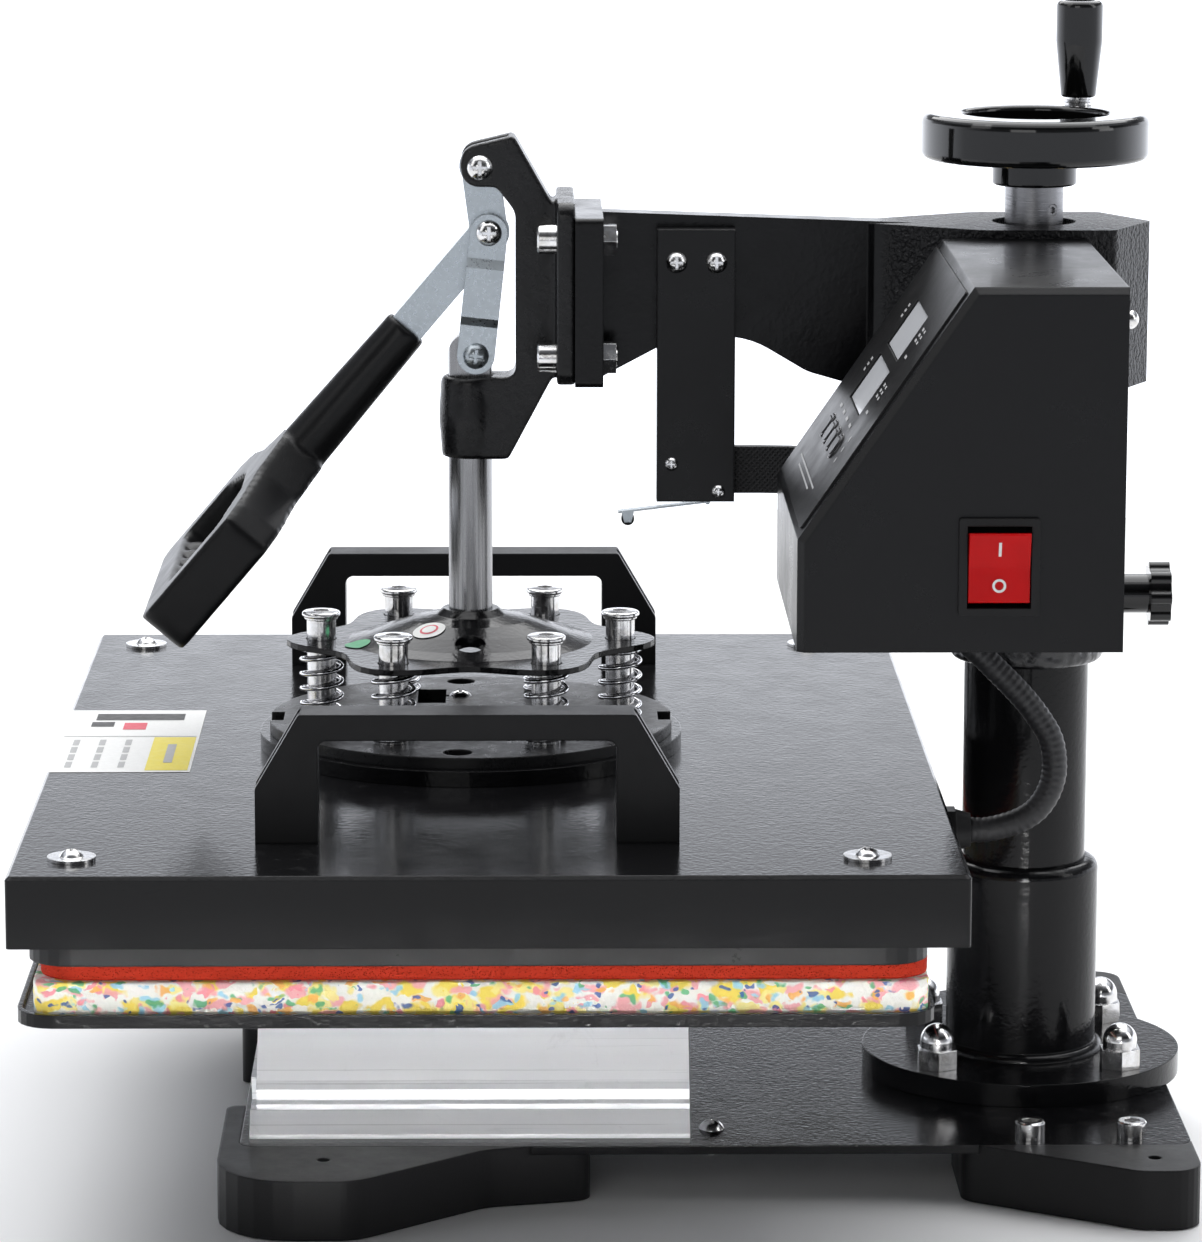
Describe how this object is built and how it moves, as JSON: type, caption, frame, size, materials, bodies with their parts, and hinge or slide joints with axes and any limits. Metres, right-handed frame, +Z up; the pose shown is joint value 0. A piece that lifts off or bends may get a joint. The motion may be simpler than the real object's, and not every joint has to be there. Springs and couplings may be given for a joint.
{
  "type": "swing-away heat press",
  "caption": "Swing-away flatbed heat press with a toggle lever, sprung heated upper platen, pull-out padded lower platen, height handwheel and side control box.",
  "frame": {"origin": "on the bench plane, in the middle of the four bench-screw holes in the feet", "axes": "+Z up, -Y towards the operator, +X to the operator's right"},
  "size_m": [0.4, 0.3902, 0.39],
  "materials": {
    "black_powder_coat": "gloss black powder coat with orange peel",
    "black_plastic": "matte black moulded plastic",
    "zinc_fasteners": "bright plated fasteners",
    "raw_aluminium": "raw extruded aluminium with die lines",
    "white_foam": "off-white foam with coloured flecks",
    "red_silicone": "brick-red sponge silicone",
    "brass_washer": "turned bronze thrust washer",
    "bakelite": "polished black phenolic",
    "ground_steel": "ground steel",
    "satin_zinc": "satin zinc plate",
    "cast_black": "black-coated casting",
    "satin_black_sheet": "satin black folded sheet",
    "panel_film": "dark printed film",
    "display_glass": "grey display windows",
    "black_rubber": "black rubber",
    "braided_sleeve": "black braided sleeve",
    "red_rocker": "translucent red plastic",
    "key_plastic": "dark grey key domes",
    "grip_plastic": "black moulded grip",
    "dark_coated_aluminium": "dark non-stick coat",
    "insulation_fibre": "fibre insulation board",
    "spring_wire": "plated spring wire",
    "cable_jacket": "black cable sleeve"
  },
  "bodies": {
    "base": {"base_plate": "black_powder_coat", "front_right_foot": "black_plastic", "front_left_foot": "black_plastic", "rear_right_foot": "black_plastic", "rear_left_foot": "black_plastic", "base_fasteners": "zinc_fasteners", "column_socket": "black_powder_coat", "column_post": "black_powder_coat", "lower_rail": "raw_aluminium"},
    "lower_platen": {"slide_carriage": "raw_aluminium", "platen_tray": "black_powder_coat", "foam_pad": "white_foam", "silicone_pad": "red_silicone"},
    "lift": {"thrust_washer": "brass_washer"},
    "handwheel": {"handwheel": "bakelite", "lead_screw": "ground_steel", "stem_collar": "satin_zinc", "crank_pin": "zinc_fasteners"},
    "crank": {"crank_handle": "bakelite"},
    "arm": {"swing_arm": "black_powder_coat", "column_sleeve": "black_powder_coat", "head_casting": "cast_black", "arm_fasteners": "zinc_fasteners", "top_pivot_pin": "zinc_fasteners", "control_box": "satin_black_sheet", "box_mount_plate": "satin_black_sheet", "panel_overlay": "panel_film", "display_board": "display_glass", "rocker_bezel": "black_plastic", "power_inlet": "black_plastic", "cable_grommet": "black_rubber", "switch_bracket": "satin_black_sheet", "limit_switch": "black_plastic", "switch_cable": "braided_sleeve"},
    "lock_knob": {"lock_knob": "bakelite"},
    "rocker": {"rocker_button": "red_rocker"},
    "mode_key": {"mode_key": "key_plastic"},
    "up_key": {"up_key": "key_plastic"},
    "down_key": {"down_key": "key_plastic"},
    "start_key": {"start_key": "key_plastic"},
    "roller_lever": {"roller_lever": "satin_zinc"},
    "roller": {"roller": "black_plastic"},
    "lever": {"lever_bar": "satin_zinc", "grip_handle": "grip_plastic", "middle_pivot_pin": "zinc_fasteners"},
    "links": {"link_straps": "satin_zinc"},
    "platen": {"heater_cover": "black_powder_coat", "heating_plate": "dark_coated_aluminium", "insulation": "insulation_fibre", "mounting_disc": "black_powder_coat", "adapter_plate": "cast_black", "spring_bolts": "zinc_fasteners", "springs": "spring_wire", "left_handle": "black_plastic", "right_handle": "black_plastic", "cover_fasteners": "zinc_fasteners", "cable_gland": "black_plastic", "heater_cable": "cable_jacket"},
    "plunger": {"press_rod": "ground_steel", "spider_plate": "black_powder_coat"}
  },
  "joints": [
    {"name": "platen_pull", "type": "slide", "parent": "base", "child": "lower_platen", "axis": [0, -1, 0], "range_m": [0, 0.138]},
    {"name": "arm_lift", "type": "slide", "parent": "base", "child": "lift", "axis": [0, 0, 1], "range_m": [0, 0.01]},
    {"name": "wheel_turn", "type": "hinge", "parent": "lift", "child": "handwheel", "pos_m": [0, 0.103, 0.33], "axis": [0, 0, 1], "range_deg": [0, 1441]},
    {"name": "crank_spin", "type": "hinge", "parent": "handwheel", "child": "crank", "pos_m": [-0.0265, 0.12021, 0.37], "axis": [0, 0, 1], "continuous": true},
    {"name": "arm_swing", "type": "hinge", "parent": "lift", "child": "arm", "pos_m": [0, 0.103, 0.25], "axis": [0, 0, 1], "continuous": true},
    {"name": "lock_turn", "type": "hinge", "parent": "arm", "child": "lock_knob", "pos_m": [0, 0.14, 0.188], "axis": [0, 1, 0], "range_deg": [0, 360]},
    {"name": "rocker_tip", "type": "hinge", "parent": "arm", "child": "rocker", "pos_m": [0.1535, 0.0784, 0.226], "axis": [0, 1, 0], "range_deg": [0, 16]},
    {"name": "mode_press", "type": "slide", "parent": "arm", "child": "mode_key", "axis": [0, 0.8255, -0.5644], "range_m": [0, 0.0005], "stiffness_N_per_m": 600},
    {"name": "up_press", "type": "slide", "parent": "arm", "child": "up_key", "axis": [0, 0.8255, -0.5644], "range_m": [0, 0.0005], "stiffness_N_per_m": 600},
    {"name": "down_press", "type": "slide", "parent": "arm", "child": "down_key", "axis": [0, 0.8255, -0.5644], "range_m": [0, 0.0005], "stiffness_N_per_m": 600},
    {"name": "start_press", "type": "slide", "parent": "arm", "child": "start_key", "axis": [0, 0.8255, -0.5644], "range_m": [0, 0.0005], "stiffness_N_per_m": 600},
    {"name": "switch_tip", "type": "hinge", "parent": "arm", "child": "roller_lever", "pos_m": [0.00925, -0.008, 0.222], "axis": [-1, 0, 0], "range_deg": [0, 6], "stiffness_Nm_per_rad": 0.02},
    {"name": "roller_spin", "type": "hinge", "parent": "roller_lever", "child": "roller", "pos_m": [0.00925, -0.0352, 0.216], "axis": [1, 0, 0], "continuous": true},
    {"name": "lever_swing", "type": "hinge", "parent": "arm", "child": "lever", "pos_m": [0, -0.0855, 0.336], "axis": [-1, 0, 0], "range_deg": [0, 110]},
    {"name": "link_swing", "type": "hinge", "parent": "lever", "child": "links", "pos_m": [0, -0.0825, 0.3135], "axis": [-1, 0, 0], "range_deg": [-146, 0]},
    {"name": "platen_lift", "type": "slide", "parent": "arm", "child": "platen", "axis": [0, 0, 1], "range_m": [0, 0.0258], "deforming": ["heater_cable"]},
    {"name": "plunger_lift", "type": "slide", "parent": "platen", "child": "plunger", "axis": [0, 0, 1], "range_m": [0, 0.0069], "deforming": ["springs"]}
  ],
  "couplings": [
    {"joint": "wheel_turn", "follows": "arm_lift", "rad_per_m": 2513.3},
    {"joint": "link_swing", "follows": "lever_swing", "ratio": -1.3219},
    {"joint": "platen_lift", "follows": "lever_swing", "m_per_rad": 0.013407},
    {"joint": "plunger_lift", "follows": "lever_swing", "m_per_rad": 0.003542}
  ]
}
